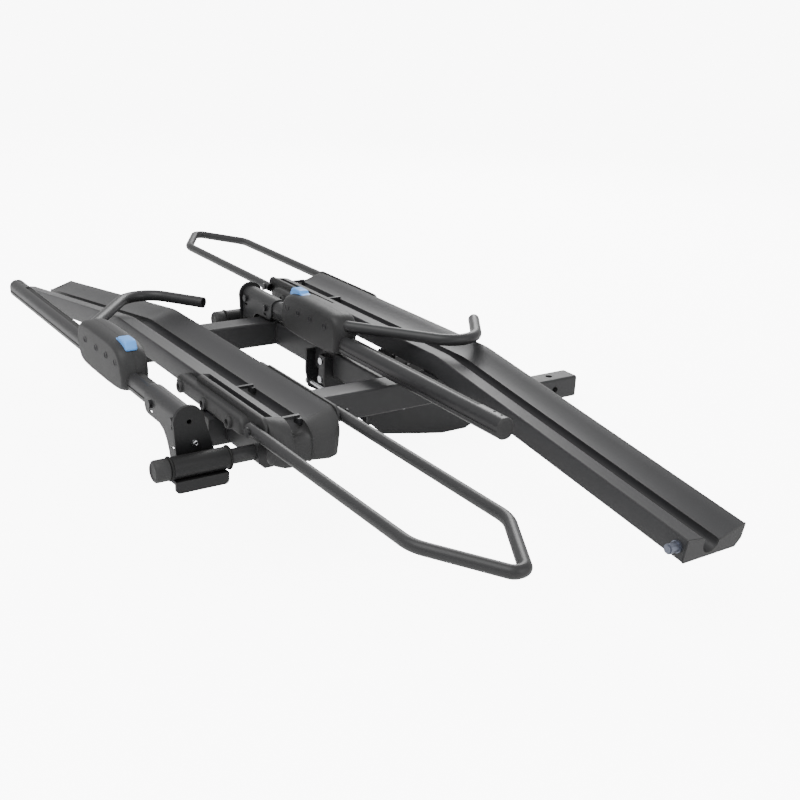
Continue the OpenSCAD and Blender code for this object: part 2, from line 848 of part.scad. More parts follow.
hitch_tongue();
tilt_plates();
tongue_gusset();
pivot_bolt();
pivot_nut();
beam_left();
beam_right();
cross_beam();
beam_end_plugs();
spine_plates();
post_tube();
post_bolts();
pivot_bush();
lock_pin_housing();
tilt_lock_pin();
tilt_lock_spring();
tray_a();
tray_b();
tray_end_caps();
wheel_cap_a();
wheel_cap_b();
hoop_mounts_a();
hoop_mounts_b();
hoop_pivot_pins();
groove_clips();
tray_bolts();
strap_anchors();
axle_shafts();
axle_plugs();
axle_rings();
axle_brackets();
cable_lock();
row_a() arm_base();  // arm_base_a
row_a() arm_channel();  // arm_channel_a
row_a() arm_bar();  // arm_bar_a
row_a() ratchet_strip();  // ratchet_strip_a
row_a() bar_cap();  // bar_cap_a
row_a() arm_bolts();  // arm_bolts_a
row_b() arm_base();  // arm_base_b
row_b() arm_channel();  // arm_channel_b
row_b() arm_bar();  // arm_bar_b
row_b() ratchet_strip();  // ratchet_strip_b
row_b() bar_cap();  // bar_cap_b
row_b() arm_bolts();  // arm_bolts_b
row_a() grip_near();  // grip_near_a
row_a() grip_far();  // grip_far_a
row_a() grip_screws();  // grip_screws_a
row_a() hook();  // hook_a
row_a() release_button();  // release_button_a
row_a() pawl();  // pawl_a
row_b() translate([grip_shift_b, 0, 0]) grip_near();  // grip_near_b
row_b() translate([grip_shift_b, 0, 0]) grip_far();  // grip_far_b
row_b() translate([grip_shift_b, 0, 0]) grip_screws();  // grip_screws_b
row_b() translate([grip_shift_b, 0, 0]) hook();  // hook_b
row_b() translate([grip_shift_b, 0, 0]) release_button();  // release_button_b
row_b() translate([grip_shift_b, 0, 0]) pawl();  // pawl_b
row_a() hoop();  // hoop_a
row_b() hoop();  // hoop_b
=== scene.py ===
import json
import math
import bmesh
import bpy
import numpy as np
from mathutils import Matrix, Vector


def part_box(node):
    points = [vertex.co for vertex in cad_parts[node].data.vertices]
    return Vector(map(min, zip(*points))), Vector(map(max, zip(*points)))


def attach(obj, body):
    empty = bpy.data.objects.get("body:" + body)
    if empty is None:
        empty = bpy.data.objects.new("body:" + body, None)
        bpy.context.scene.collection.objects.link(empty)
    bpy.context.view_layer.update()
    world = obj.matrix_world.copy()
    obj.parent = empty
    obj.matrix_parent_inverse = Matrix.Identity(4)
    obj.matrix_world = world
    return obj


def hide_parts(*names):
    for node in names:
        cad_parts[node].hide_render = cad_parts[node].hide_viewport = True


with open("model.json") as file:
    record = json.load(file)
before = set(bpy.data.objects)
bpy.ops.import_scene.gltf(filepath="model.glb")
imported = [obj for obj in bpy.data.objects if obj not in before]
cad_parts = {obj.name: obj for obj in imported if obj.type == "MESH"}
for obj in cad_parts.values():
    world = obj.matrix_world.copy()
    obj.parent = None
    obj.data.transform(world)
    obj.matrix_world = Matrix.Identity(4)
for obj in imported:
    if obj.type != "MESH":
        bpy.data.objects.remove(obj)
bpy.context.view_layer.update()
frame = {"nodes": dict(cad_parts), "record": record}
print("stage: frame loaded")


# what every finish shares
surface = {"speckle": 900.0, "speckleDetail": 3.0, "drift": 9.0, "driftDetail": 4.0, "plain": (1.0, 1.0, 1.0),
           "bumpDeep": 0.0004, "reflect": 0.24}


def newGroup(name, inputs, outputs):
    group = bpy.data.node_groups.new(name, "ShaderNodeTree")
    for label, kind, value in inputs:
        socket = group.interface.new_socket(label, in_out="INPUT", socket_type=kind)
        socket.default_value = value
    for label, kind in outputs:
        group.interface.new_socket(label, in_out="OUTPUT", socket_type=kind)
    return group, group.nodes.new("NodeGroupInput"), group.nodes.new("NodeGroupOutput")


def addNode(tree, kind, **values):
    made = tree.nodes.new(kind)
    for key, value in values.items():
        setattr(made, key, value)
    return made


def makeGrain():
    # fine speckle and slow drift, both in object space
    group, nodeIn, nodeOut = newGroup("grain",
        [("Speckle", "NodeSocketFloat", surface["speckle"]), ("Drift", "NodeSocketFloat", surface["drift"]),
         ("Stretch", "NodeSocketVector", surface["plain"])],
        [("Height", "NodeSocketFloat"), ("Cloud", "NodeSocketFloat")])
    coords = addNode(group, "ShaderNodeTexCoord")
    stretched = addNode(group, "ShaderNodeVectorMath", operation="MULTIPLY")
    speckle = addNode(group, "ShaderNodeTexNoise")
    speckle.inputs["Detail"].default_value = surface["speckleDetail"]
    cloud = addNode(group, "ShaderNodeTexNoise")
    cloud.inputs["Detail"].default_value = surface["driftDetail"]
    link = group.links.new
    link(coords.outputs["Object"], stretched.inputs[0])
    link(nodeIn.outputs["Stretch"], stretched.inputs[1])
    link(stretched.outputs["Vector"], speckle.inputs["Vector"])
    link(coords.outputs["Object"], cloud.inputs["Vector"])
    link(nodeIn.outputs["Speckle"], speckle.inputs["Scale"])
    link(nodeIn.outputs["Drift"], cloud.inputs["Scale"])
    link(speckle.outputs["Fac"], nodeOut.inputs["Height"])
    link(cloud.outputs["Fac"], nodeOut.inputs["Cloud"])
    return group


grain = makeGrain()


def makeMaterial(name, look):
    # base tone drifts between low and high, roughness drifts with it, and a fine bump breaks the gloss
    made = bpy.data.materials.new(name)
    made.use_nodes = True
    tree = made.node_tree
    link = tree.links.new
    shader = tree.nodes["Principled BSDF"]
    source = addNode(tree, "ShaderNodeGroup", node_tree=grain)
    source.inputs["Speckle"].default_value = look["speckle"]
    source.inputs["Drift"].default_value = surface["drift"]
    source.inputs["Stretch"].default_value = look.get("stretch", surface["plain"])
    tone = addNode(tree, "ShaderNodeMix", data_type="RGBA")
    tone.inputs["A"].default_value = (*look["low"], 1.0)
    tone.inputs["B"].default_value = (*look["high"], 1.0)
    link(source.outputs["Cloud"], tone.inputs["Factor"])
    link(tone.outputs["Result"], shader.inputs["Base Color"])
    rough = addNode(tree, "ShaderNodeMapRange")
    rough.inputs["To Min"].default_value = look["rough"][0]
    rough.inputs["To Max"].default_value = look["rough"][1]
    link(source.outputs["Cloud"], rough.inputs["Value"])
    link(rough.outputs["Result"], shader.inputs["Roughness"])
    bump = addNode(tree, "ShaderNodeBump")
    bump.inputs["Strength"].default_value = look["bump"]
    bump.inputs["Distance"].default_value = surface["bumpDeep"]
    link(source.outputs["Height"], bump.inputs["Height"])
    link(bump.outputs["Normal"], shader.inputs["Normal"])
    shader.inputs["Metallic"].default_value = look.get("metal", 0.0)
    shader.inputs["Specular IOR Level"].default_value = surface["reflect"]
    return made


looks = {
    "powderCoat": {"low": (0.019, 0.019, 0.02), "high": (0.026, 0.026, 0.027), "rough": (0.34, 0.46),
                   "speckle": 700.0, "bump": 0.12},
    # the plates' black coat darkened further as painted shade, standing for the shadow that falls on their
    # faces
    "plateCoatPaintedShade": {"low": (0.007, 0.007, 0.0075), "high": (0.011, 0.011, 0.0115), "rough": (0.4, 0.55),
                  "speckle": 520.0, "bump": 0.3},
    "zincPlate": {"low": (0.5, 0.51, 0.53), "high": (0.66, 0.67, 0.69), "rough": (0.2, 0.34),
                  "speckle": 900.0, "bump": 0.1, "metal": 1.0},
    "blackOxide": {"low": (0.012, 0.012, 0.013), "high": (0.022, 0.022, 0.024), "rough": (0.28, 0.4),
                   "speckle": 800.0, "bump": 0.1, "metal": 0.3},
    "trayCoat": {"low": (0.02, 0.02, 0.021), "high": (0.027, 0.027, 0.0285), "rough": (0.36, 0.48),
                 "speckle": 600.0, "stretch": (0.25, 1.0, 1.0), "bump": 0.1},
    "barCoat": {"low": (0.017, 0.017, 0.018), "high": (0.024, 0.024, 0.025), "rough": (0.3, 0.42),
                "speckle": 700.0, "stretch": (0.2, 1.0, 1.0), "bump": 0.1},
    # the strip's own dark colour, darkened further with painted shade for the recess it sits in
    "stripDarkAndPaintedShade": {"low": (0.004, 0.004, 0.004), "high": (0.008, 0.008, 0.008), "rough": (0.5, 0.65),
                   "speckle": 900.0, "bump": 0.15},
    "moulding": {"low": (0.022, 0.022, 0.0225), "high": (0.029, 0.029, 0.0295), "rough": (0.48, 0.6),
                 "speckle": 1100.0, "bump": 0.25},
    "gripMoulding": {"low": (0.017, 0.017, 0.0175), "high": (0.023, 0.023, 0.0235), "rough": (0.44, 0.56),
                     "speckle": 1300.0, "bump": 0.25},
    "softRing": {"low": (0.004, 0.004, 0.004), "high": (0.008, 0.008, 0.008), "rough": (0.55, 0.7),
                 "speckle": 900.0, "bump": 0.2},
    "blueButton": {"low": (0.075, 0.25, 0.62), "high": (0.11, 0.31, 0.7), "rough": (0.28, 0.38),
                   "speckle": 900.0, "bump": 0.06},
    "lockMetal": {"low": (0.1, 0.11, 0.14), "high": (0.16, 0.17, 0.21), "rough": (0.25, 0.38),
                  "speckle": 900.0, "bump": 0.08, "metal": 0.8},
}
material = {name: makeMaterial(name, look) for name, look in looks.items()}

slotLook = {"satin_steel": "powderCoat", "zinc_steel": "zincPlate", "dark_fastener": "blackOxide",
            "tray_alloy": "trayCoat", "bar_alloy": "barCoat", "moulded": "moulding",
            "grip_shell": "gripMoulding", "soft_ring": "softRing", "blue_button": "blueButton",
            "lock_metal": "lockMetal"}
# the arm base plates and spine plates take the coat darkened with painted shade
nodeLook = {"arm_base_a": "plateCoatPaintedShade", "arm_base_b": "plateCoatPaintedShade", "spine_plates": "plateCoatPaintedShade",
            # the ratchet strips take their own dark colour plus painted recess shade
            "ratchet_strip_a": "stripDarkAndPaintedShade", "ratchet_strip_b": "stripDarkAndPaintedShade"}
slotOf = {part["node"]: part["material_slot"] for part in frame["record"]["subparts"]}
for nodeName, holder in frame["nodes"].items():
    for slotIndex in range(len(holder.material_slots)):
        lookName = nodeLook.get(nodeName, slotLook[slotOf[nodeName]])
        holder.material_slots[slotIndex].material = material[lookName]
print("stage: materials")


# where the two sets stand, read from the frame
def middleOf(nodeName, axis):
    low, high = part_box(nodeName)
    return 0.5 * (low[axis] + high[axis])


rowY = {key: middleOf("tray_" + key, 1) for key in "ab"}
sideOf = {"a": 1.0, "b": -1.0}  # set b is set a mirrored across the middle
armY = {key: middleOf("arm_bar_" + key, 1) for key in "ab"}
# grip b rests further out along its bar than grip a
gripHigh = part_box("grip_near_a")[1][0] * 1000
gripShift = {"a": 0.0, "b": -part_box("grip_near_b")[0][0] * 1000 - gripHigh}
bodyOf = {key: {"arm": "arm_" + key, "grip": "grip_" + key, "button": "button_" + key} for key in "ab"}


def setPlace(points, key, originY, shift=0.0):
    # a set's own x, y, z in millimetres, as an array; out in metres, with x mirrored for set b
    scaled = np.asarray(points, dtype=float) / 1000
    return np.stack([sideOf[key] * (scaled[..., 0] + shift / 1000), originY + scaled[..., 1],
                     scaled[..., 2]], axis=-1)


def addMesh(name, parts, look, smoothAngle=35.0):
    # parts is a list of (points, quads, ngons); they go into one mesh, with normals turned outwards
    points, faces, base = [], [], 0
    for partPoints, quads, ngons in parts:
        points.append(partPoints.reshape(-1, 3))
        faces += (quads + base).tolist() + [(np.asarray(ngon) + base).tolist() for ngon in ngons]
        base += points[-1].shape[0]
    mesh = bpy.data.meshes.new(name)
    mesh.from_pydata(np.concatenate(points).tolist(), [], faces)
    work = bmesh.new()
    work.from_mesh(mesh)
    bmesh.ops.recalc_face_normals(work, faces=work.faces)
    work.to_mesh(mesh)
    work.free()
    mesh.polygons.foreach_set("use_smooth", np.ones(len(mesh.polygons), dtype=bool))
    mesh.materials.append(material[look])
    made = bpy.data.objects.new(name, mesh)
    bpy.context.collection.objects.link(made)
    mesh.set_sharp_from_angle(angle=math.radians(smoothAngle))
    return made


def ringStack(rings):
    # rings is stations x points x 3: quads between neighbours, closed round, one face on each end
    stations, count = rings.shape[:2]
    index = np.arange(stations * count).reshape(stations, count)
    ahead = np.roll(index, -1, axis=1)
    quads = np.stack([index[:-1], ahead[:-1], ahead[1:], index[1:]], axis=-1).reshape(-1, 4)
    return rings, quads, [index[0][::-1], index[-1]]


def rounded(corners, passes=3, share=0.25):
    # corner cutting: each pass replaces a corner by two points a share of the way along its sides
    line = np.asarray(corners, dtype=float)
    for _ in range(passes):
        ahead = np.roll(line, -1, axis=0)
        line = np.stack([line * (1 - share) + ahead * share, line * share + ahead * (1 - share)],
                        axis=1).reshape(-1, 2)
    return line


def resampled(line, count):
    # the same closed outline with evenly spaced points
    closed = np.vstack([line, line[:1]])
    run = np.concatenate([[0], np.cumsum(np.hypot(*np.diff(closed, axis=0).T))])
    at = np.linspace(0, run[-1], count, endpoint=False)
    return np.stack([np.interp(at, run, closed[:, 0]), np.interp(at, run, closed[:, 1])], axis=-1)


def insetBy(line, amount):
    # each point moves inwards along the mean normal of its two sides
    along = np.roll(line, -1, axis=0) - np.roll(line, 1, axis=0)
    normal = np.stack([-along[:, 1], along[:, 0]], axis=-1)
    normal /= np.linalg.norm(normal, axis=1, keepdims=True)
    area = np.sum(line[:, 0] * np.roll(line[:, 1], -1) - np.roll(line[:, 0], -1) * line[:, 1])
    return line + normal * amount * np.sign(area)


def pillow(line, back, front, edge, steps=5):
    # an outline in x and z between two depths in y, its front rim a quarter circle of radius edge
    turn = np.linspace(0, math.pi / 2, steps)
    toward = math.copysign(1.0, front - back)
    insets = edge * (1 - np.cos(turn))
    depths = front - toward * edge * (1 - np.sin(turn))
    outlines = [(line, back)] + [(insetBy(line, inset), depth) for inset, depth in zip(insets, depths)]
    return np.stack([np.column_stack([outline[:, 0], np.full(len(line), depth), outline[:, 1]])
                     for outline, depth in outlines])


def spun(profile, count=40):
    # profile of radius and depth, turned once round the y axis
    profile = np.asarray(profile, dtype=float)
    turn = np.linspace(0, 2 * math.pi, count, endpoint=False)
    return np.stack([profile[:, :1] * np.cos(turn), np.repeat(profile[:, 1:], count, axis=1),
                     profile[:, :1] * np.sin(turn)], axis=-1)


def placed(rings, key, originY, shift=0.0, offset=(0, 0, 0)):
    return setPlace(rings + np.asarray(offset, dtype=float), key, originY, shift)


def finish(made, body, slotName, *nodes):
    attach(made, body)
    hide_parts(*nodes)


gripShell = {
    "side": [(-118, 198), (-121, 236), (-114, 260), (-92, 271), (40, 272), (84, 266), (102, 246),
             (109, 214), (103, 192), (60, 185), (-80, 185), (-106, 189)],
    "points": 120, "stations": 12, "half": 25.5, "gap": 0.15, "midZ": 224.0,
    "bulge": 0.75, "roll": 0.9, "shrinkX": 0.55, "shrinkZ": 0.2,  # powers and shares of the crown
    "lean": 0.1, "leanTop": 226, "leanOver": 40,
    "lug": [(0.2, -17.5), (5, -17.2), (7.5, -14.5), (7.5, -6), (0.2, -6)],
    "lugX": (-61, 15), "lugZ": 189, "lugPoints": 24, "lugSquash": 0.85,
}


def gripHalf(key, toward):
    # superellipse crown: the outline shrinks with a power of the cosine while the depth grows with a
    # power of the sine, and the depth leans in below leanTop; two short lugs stand under it
    values = gripShell
    line = resampled(rounded(values["side"], 4), values["points"])
    midX, midZ = line[:, 0].mean(), values["midZ"]
    turn = np.linspace(0, math.pi / 2, values["stations"])
    deep = values["half"] * np.sin(turn) ** values["bulge"]
    shrink = 1 - (1 - np.cos(turn) ** values["roll"]) * values["shrinkZ"]
    lean = 1 - values["lean"] * np.clip((values["leanTop"] - line[:, 1]) / values["leanOver"], 0, 1)
    rings = [np.column_stack([midX + (line[:, 0] - midX) * (1 - (1 - s) * values["shrinkX"]),
                              toward * (values["gap"] + d * lean), midZ + (line[:, 1] - midZ) * s])
             for s, d in zip(shrink, deep)]
    parts = [ringStack(placed(np.stack(rings), key, armY[key], gripShift[key]))]
    for x in values["lugX"]:
        lug = spun(values["lug"], values["lugPoints"]) * np.array([1.0, -toward, values["lugSquash"]])
        parts.append(ringStack(placed(lug, key, armY[key], gripShift[key], (x, 0, values["lugZ"]))))
    return parts


screwHead = {"x": (-73, -18, 30, 74), "z": 239, "radius": 4.6, "rim": 1.6, "proud": 0.4, "points": 28}


def screwHeads(key):
    # a raised rim and, inside it, a head with a shallow dish, spun about the cross axis
    r, rim = screwHead["radius"], screwHead["radius"] + screwHead["rim"]
    face = -gripShell["half"] - screwHead["proud"]
    profile = [(0.1, face + 6), (rim, face + 6), (rim, face + 0.6), (r + 1.1, face - 0.1),
               (r + 0.4, face + 0.5), (r, face + 0.9), (r * 0.6, face + 0.7), (r * 0.45, face + 1.4),
               (0.1, face + 1.5)]
    head = spun(profile, screwHead["points"])
    return [ringStack(placed(head, key, armY[key], gripShift[key], (x, 0, screwHead["z"])))
            for x in screwHead["x"]]


button = {"side": [(5, 258), (8, 267), (46, 271.5), (52, 277.6), (83, 277.6), (90.5, 263), (86, 258)],
          "half": 10.3, "edge": 2.6, "round": 0.14, "points": 90}


def buttonParts(key):
    # two pillows back to back on the grip's middle plane
    line = resampled(rounded(button["side"], 3, button["round"]), button["points"])
    left = pillow(line, 0, -button["half"], button["edge"])
    right = pillow(line, 0, button["half"], button["edge"])
    both = np.concatenate([left[::-1], right[1:]])
    return [ringStack(placed(both, key, armY[key], gripShift[key]))]


for key in "ab":
    near = addMesh("gripShellNear." + key, gripHalf(key, -1.0), "gripMoulding", 50)
    finish(near, bodyOf[key]["grip"], "grip_shell", "grip_near_" + key)
    far = addMesh("gripShellFar." + key, gripHalf(key, 1.0), "gripMoulding", 50)
    finish(far, bodyOf[key]["grip"], "grip_shell", "grip_far_" + key)
    finish(addMesh("gripScrewHeads." + key, screwHeads(key), "blackOxide"), bodyOf[key]["grip"],
           "dark_fastener", "grip_screws_" + key)
    finish(addMesh("thumbButton." + key, buttonParts(key), "blueButton", 30), bodyOf[key]["button"],
           "blue_button", "release_button_" + key)
print("stage: grips")


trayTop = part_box("hoop_mounts_a")[1][2] * 1000 - 2.0  # the mounts' fins stand 2 mm above the rim
tray = {
    "half": 62.5, "edge": 2.2, "grooveY": -8, "grooveZ": -17, "grooveR": 17, "grooveTurn": (172, 368),
    "short": 378, "long": -880, "bendX": -240, "bendR": 220, "wingAngle": 8.3, "bendSteps": 14,
    "wingSteps": 9, "slotX": 150, "slotEase": 5, "slotY": (-56.8, -43.8), "slotDeep": 17,
}


def traySection():
    # near flange, ridge, round groove, sloping far flange and far wall, closed underneath: y and depth
    half, edge, groove, r = tray["half"], tray["edge"], tray["grooveY"], tray["grooveR"]
    sweep = np.radians(np.linspace(*tray["grooveTurn"], 26))
    arc = np.column_stack([groove + r * np.cos(sweep), tray["grooveZ"] + r * np.sin(sweep)])
    near = [(-half, -edge), (-half + 0.3 * edge, -0.3 * edge), (-half + edge, 0), (-58, -0.2), (-57, -0.4),
            (-56.5, -0.5), (-50, -1.6), (-44.5, -2.4), (-44, -2.5), (-43, -2.7), (-34, -4.2), (-29, -5.0),
            (-26.5, -6.0), (-25.4, -8.0)]
    far = [(groove + r + 0.6, -16.4), (groove + r + 3, -16.2), (30, -12.0), (46, -6.2), (half - 2.4, -0.6),
           (half - 0.6, -0.4), (half, -2), (half - 1, -25), (half - 3, -29), (half - 11, -38.5),
           (half - 14, -40), (-half + 3, -40), (-half + 0.8, -39), (-half, -36)]
    return np.concatenate([near, arc, far])


def trayParts(key):
    # level run, an arc whose centre lies below it, and the sloping run, as stations of origin and tilt;
    # past slotX the near flange sinks between slotY, which leaves the open slot
    angle = math.radians(tray["wingAngle"])
    back = tray["bendR"] * math.tan(angle / 2)
    level = [tray["short"], 340, 300, 260, 220, 190, 170, 157, 155, 151, 149, 148, 100, 50, 0, -60, -120,
             -180, tray["bendX"] + back]
    bend = np.linspace(0, angle, tray["bendSteps"])[1:]
    bendX = tray["bendX"] + back - tray["bendR"] * np.sin(bend)
    bendZ = -tray["bendR"] * (1 - np.cos(bend))
    run = np.linspace(0, 1, tray["wingSteps"])[1:]
    endZ = -(abs(tray["long"]) - abs(tray["bendX"])) * math.tan(angle)
    wingX = bendX[-1] + (tray["long"] - bendX[-1]) * run
    wingZ = bendZ[-1] + (endZ - bendZ[-1]) * run
    originX = np.concatenate([level, bendX, wingX])
    originZ = np.concatenate([np.zeros(len(level)), bendZ, wingZ])
    tilt = np.concatenate([np.zeros(len(level)), bend, np.full(len(run), angle)])
    y, d = traySection().T
    inSlot = ((y > tray["slotY"][0]) & (y < tray["slotY"][1]) & (d > -10)).astype(float)
    sink = np.clip((originX - tray["slotX"]) / tray["slotEase"], 0, 1)[:, None] * inSlot * tray["slotDeep"]
    depth = d[None, :] - sink
    rings = np.stack([originX[:, None] - np.sin(tilt)[:, None] * depth, np.broadcast_to(y, depth.shape),
                      trayTop + originZ[:, None] + np.cos(tilt)[:, None] * depth], axis=-1)
    return [ringStack(placed(rings, key, rowY[key]))]


for key in "ab":
    finish(addMesh("trayRun." + key, trayParts(key), "trayCoat", 28), "rack", "tray_alloy", "tray_" + key)
print("stage: trays")


nose = {
    "start": 378.2, "x": 381, "radius": 45, "foot": 78, "turnSteps": 22, "dropSteps": 7, "dropEnd": 7,
    "footRise": (4.0, 1.2, 0.0), "footInset": (1.0, 4.0, 8.0), "footMore": 0.35,
    "nearFrom": -33, "nearFall": 24, "farFrom": 34, "farFall": 12, "narrow": 0.06,
    "closeFrom": 0.35, "closeOver": 0.6, "flat": 0.25, "closeDeep": 8.5, "deepest": -40.0,
}


def capParts(key):
    # the tray's section swept forwards, round a quarter turn and down to the foot; share grows from 0 to
    # 1 round the turn and a little more below, and with it both lobes fall away and the groove closes
    values = nose
    half = tray["half"]
    turn = np.linspace(0, math.pi / 2, values["turnSteps"])
    drop = np.linspace(0, values["foot"] - values["radius"] - values["dropEnd"], values["dropSteps"])[1:]
    down = len(drop) + len(values["footRise"])
    pathX = np.concatenate([[values["start"]], values["x"] + values["radius"] * np.sin(turn),
                            np.full(down, values["x"] + values["radius"])])
    pathZ = np.concatenate([[0.0], -values["radius"] * (1 - np.cos(turn)), -values["radius"] - drop,
                            -values["foot"] + np.array(values["footRise"])])
    angle = np.concatenate([[0.0], turn, np.full(down, math.pi / 2)])
    more = np.concatenate([np.zeros(len(turn) + 1), np.linspace(0, values["footMore"], down)])
    share = np.clip(angle / (math.pi / 2), 0, 1) + more
    share = np.clip(share, 0, 1.3)[:, None]
    inset = np.zeros((len(angle), 1))
    inset[-len(values["footInset"]):, 0] = values["footInset"]
    y, d = traySection().T
    onTop = d > -34
    nearFall = np.clip((values["nearFrom"] - y) / (half + values["nearFrom"]), 0, 1) ** 2 * onTop
    farFall = np.clip((y - values["farFrom"]) / (half - values["farFrom"]), 0, 1) ** 2 * onTop
    depth = d[None, :] - share * (values["nearFall"] * nearFall + values["farFall"] * farFall)[None, :]
    inGroove = (d < -6.5) & (d > -34.5) & (y < 12)
    closed = np.clip((share - values["closeFrom"]) / values["closeOver"], 0, 1)
    closed = closed * closed * (3 - 2 * closed) * inGroove[None, :]
    depth = depth * (1 - closed) + (values["flat"] * depth - values["closeDeep"]) * closed
    depth = np.maximum(depth, values["deepest"])
    narrow = 1 - share * values["narrow"] * np.abs(y / half)[None, :] ** 4
    wide = y[None, :] * narrow * (1 - inset / half)
    depth = depth - inset * (d[None, :] > -36)
    rings = np.stack([pathX[:, None] + np.sin(angle)[:, None] * depth, wide,
                      trayTop + pathZ[:, None] + np.cos(angle)[:, None] * depth], axis=-1)
    return [ringStack(placed(rings, key, rowY[key]))]


for key in "ab":
    finish(addMesh("wheelCapNose." + key, capParts(key), "moulding", 40), "rack", "moulded",
           "wheel_cap_" + key)
print("stage: wheel caps")


hoopMount = {"in": 62.9, "out": 87, "bodyX": (96, 352), "bodyZ": (182, 213), "bodyShort": 3, "bodyEdge": 7,
             "finX": (165, 384), "finZ": 209, "finR": 16, "fin": 5, "finEdge": 1.6,
             "bossX": (118, 212, 306), "bossZ": 193.5, "bossR": 11, "points": 120}


def stadium(x0, x1, z0, z1):
    # long outline with half-round ends
    r = (z1 - z0) / 2
    left = np.radians(np.linspace(90, 270, 24))
    right = np.radians(np.linspace(-90, 90, 24))
    line = np.concatenate([np.column_stack([x0 + r + r * np.cos(left), z0 + r + r * np.sin(left)]),
                           np.column_stack([x1 - r + r * np.cos(right), z0 + r + r * np.sin(right)])])
    return resampled(line, hoopMount["points"])


def mountParts(key):
    # on each side of the tray: a long body, a thin fin above it and three hollow bosses
    parts = []
    values = hoopMount
    root, rim, r = values["in"], values["out"], values["bossR"]
    profile = [(0.1, root), (r, root), (r, rim - 1), (9.6, rim + 1.2), (6.4, rim + 1.4), (5.6, rim - 0.6),
               (5.4, rim - 5), (0.1, rim - 5)]
    finX, finZ, finR = values["finX"], values["finZ"], values["finR"]
    for toward in (-1.0, 1.0):
        body = pillow(stadium(*values["bodyX"], *values["bodyZ"]), toward * root,
                      toward * (rim - values["bodyShort"]), values["bodyEdge"])
        parts.append(ringStack(placed(body, key, rowY[key])))
        fin = pillow(stadium(finX[0] - finR, finX[1] + finR, finZ - finR, finZ + finR), toward * root,
                     toward * (root + values["fin"]), values["finEdge"])
        parts.append(ringStack(placed(fin, key, rowY[key])))
        for x in values["bossX"]:
            boss = spun(profile, 32) * np.array([1.0, toward, 1.0])
            parts.append(ringStack(placed(boss, key, rowY[key], 0.0, (x, 0, values["bossZ"]))))
    return parts


for key in "ab":
    finish(addMesh("hoopMountPair." + key, mountParts(key), "moulding", 35), "rack", "moulded",
           "hoop_mounts_" + key)
print("stage: hoop mounts")


barEnd = {
    "x": -567, "z": 210, "wide": 32, "high": 37, "round": 14,
    "dome": [(-1.0, 12.0), (-1.0, 0.3), (0.15, 0.0), (0.15, -1.4), (-0.9, -3.1), (-3.0, -3.9),
             (-7.5, -4.0)],  # how far the outline grows, and where along the bar from its end
}


def roundRect(wide, high, r, count=72):
    turn = np.radians(np.arange(0, 360, 10) + 5)
    line = np.column_stack([np.sign(np.cos(turn)) * (wide / 2 - r) + r * np.cos(turn),
                            np.sign(np.sin(turn)) * (high / 2 - r) + r * np.sin(turn)])
    return resampled(line, count)


def barEndParts(key):
    # the bar's outline shrinks to a shallow dome past the bar's end
    line = roundRect(barEnd["wide"], barEnd["high"], barEnd["round"])
    outlines = [(insetBy(line, -grow), barEnd["x"] + along) for grow, along in barEnd["dome"]]
    rings = np.stack([np.column_stack([np.full(len(line), x), outline[:, 0], barEnd["z"] + outline[:, 1]])
                      for outline, x in outlines])
    return [ringStack(placed(rings, key, armY[key]))]


axleEnd = {
    "x": 348, "z": 153, "radius": 18, "points": 44,
    "plug": [(3, 49.4), (0.6, 49.6), (0, 50.6), (0, 70), (0.8, 71.4), (3.4, 73.4), (4.4, 73.9), (6, 73.6),
             (7, 72.2), (17.8, 71.8)],  # inset from the radius, and distance from the arm's plane
    "rings": (-46.6, 51.6), "ringR": 17.0, "ringWide": 3.2, "ringDeep": 2.3,
}


def onAxle(profile, key):
    place = (axleEnd["x"], 0, axleEnd["z"])
    return placed(spun(profile, axleEnd["points"]), key, rowY[key], 0.0, place)


def plugParts(key):
    mid = (armY[key] - rowY[key]) * 1000
    profile = [(axleEnd["radius"] - inset, mid - away) for inset, away in axleEnd["plug"]]
    return [ringStack(onAxle(profile, key))]


def ringParts(key):
    # two closed rings of round-edged section, each a profile spun once, its last circle joined to its first
    mid = (armY[key] - rowY[key]) * 1000
    turn = np.radians(np.arange(0, 360, 30))
    parts = []
    for along in axleEnd["rings"]:
        rings = onAxle(np.column_stack([axleEnd["ringR"] + axleEnd["ringWide"] * np.cos(turn),
                                        mid + along + axleEnd["ringDeep"] * np.sin(turn)]), key)
        index = np.arange(rings.shape[0] * rings.shape[1]).reshape(rings.shape[:2])
        ahead, over = np.roll(index, -1, axis=1), np.roll(index, -1, axis=0)
        quads = np.stack([index, ahead, np.roll(ahead, -1, axis=0), over], axis=-1).reshape(-1, 4)
        parts.append((rings, quads, []))
    return parts


strip = {"x": (-498, 168), "wide": 10.6, "y": 3.0, "top": 226.7, "deep": 2.2, "pitch": 10.0, "rise": 0.5}


def stripParts(key):
    # a flat run whose top is a low saw wave: it climbs along each pitch, then drops
    x = np.arange(strip["x"][0], strip["x"][1], strip["pitch"] / 5)
    wave = strip["top"] + strip["rise"] * (((x - x[0]) / strip["pitch"]) % 1.0 - 1.0)
    half = strip["wide"] / 2
    low = np.full(len(x), strip["top"] - strip["deep"])
    rings = np.stack([np.column_stack([x, np.full(len(x), strip["y"] + side * half), height])
                      for side, height in ((-1, low), (-1, wave), (1, wave), (1, low))], axis=1)
    return [ringStack(placed(rings, key, armY[key]))]


plateScrew = {"x": 320.1, "y": 9, "z": 176, "radius": 5.9, "proud": 4.5}


def plateScrewParts(key):
    # a domed head with a round socket, spun about the axis across the plate
    r, proud = plateScrew["radius"], plateScrew["proud"]
    profile = [(0.1, 0), (r, 0), (r, proud * 0.4), (r * 0.85, proud * 0.8), (r * 0.5, proud),
               (r * 0.42, proud * 0.95), (r * 0.4, proud * 0.4), (0.1, proud * 0.35)]
    head = spun(profile, 28)[..., [1, 0, 2]]
    place = (plateScrew["x"], plateScrew["y"], plateScrew["z"])
    return [ringStack(placed(head, key, armY[key], 0.0, place))]


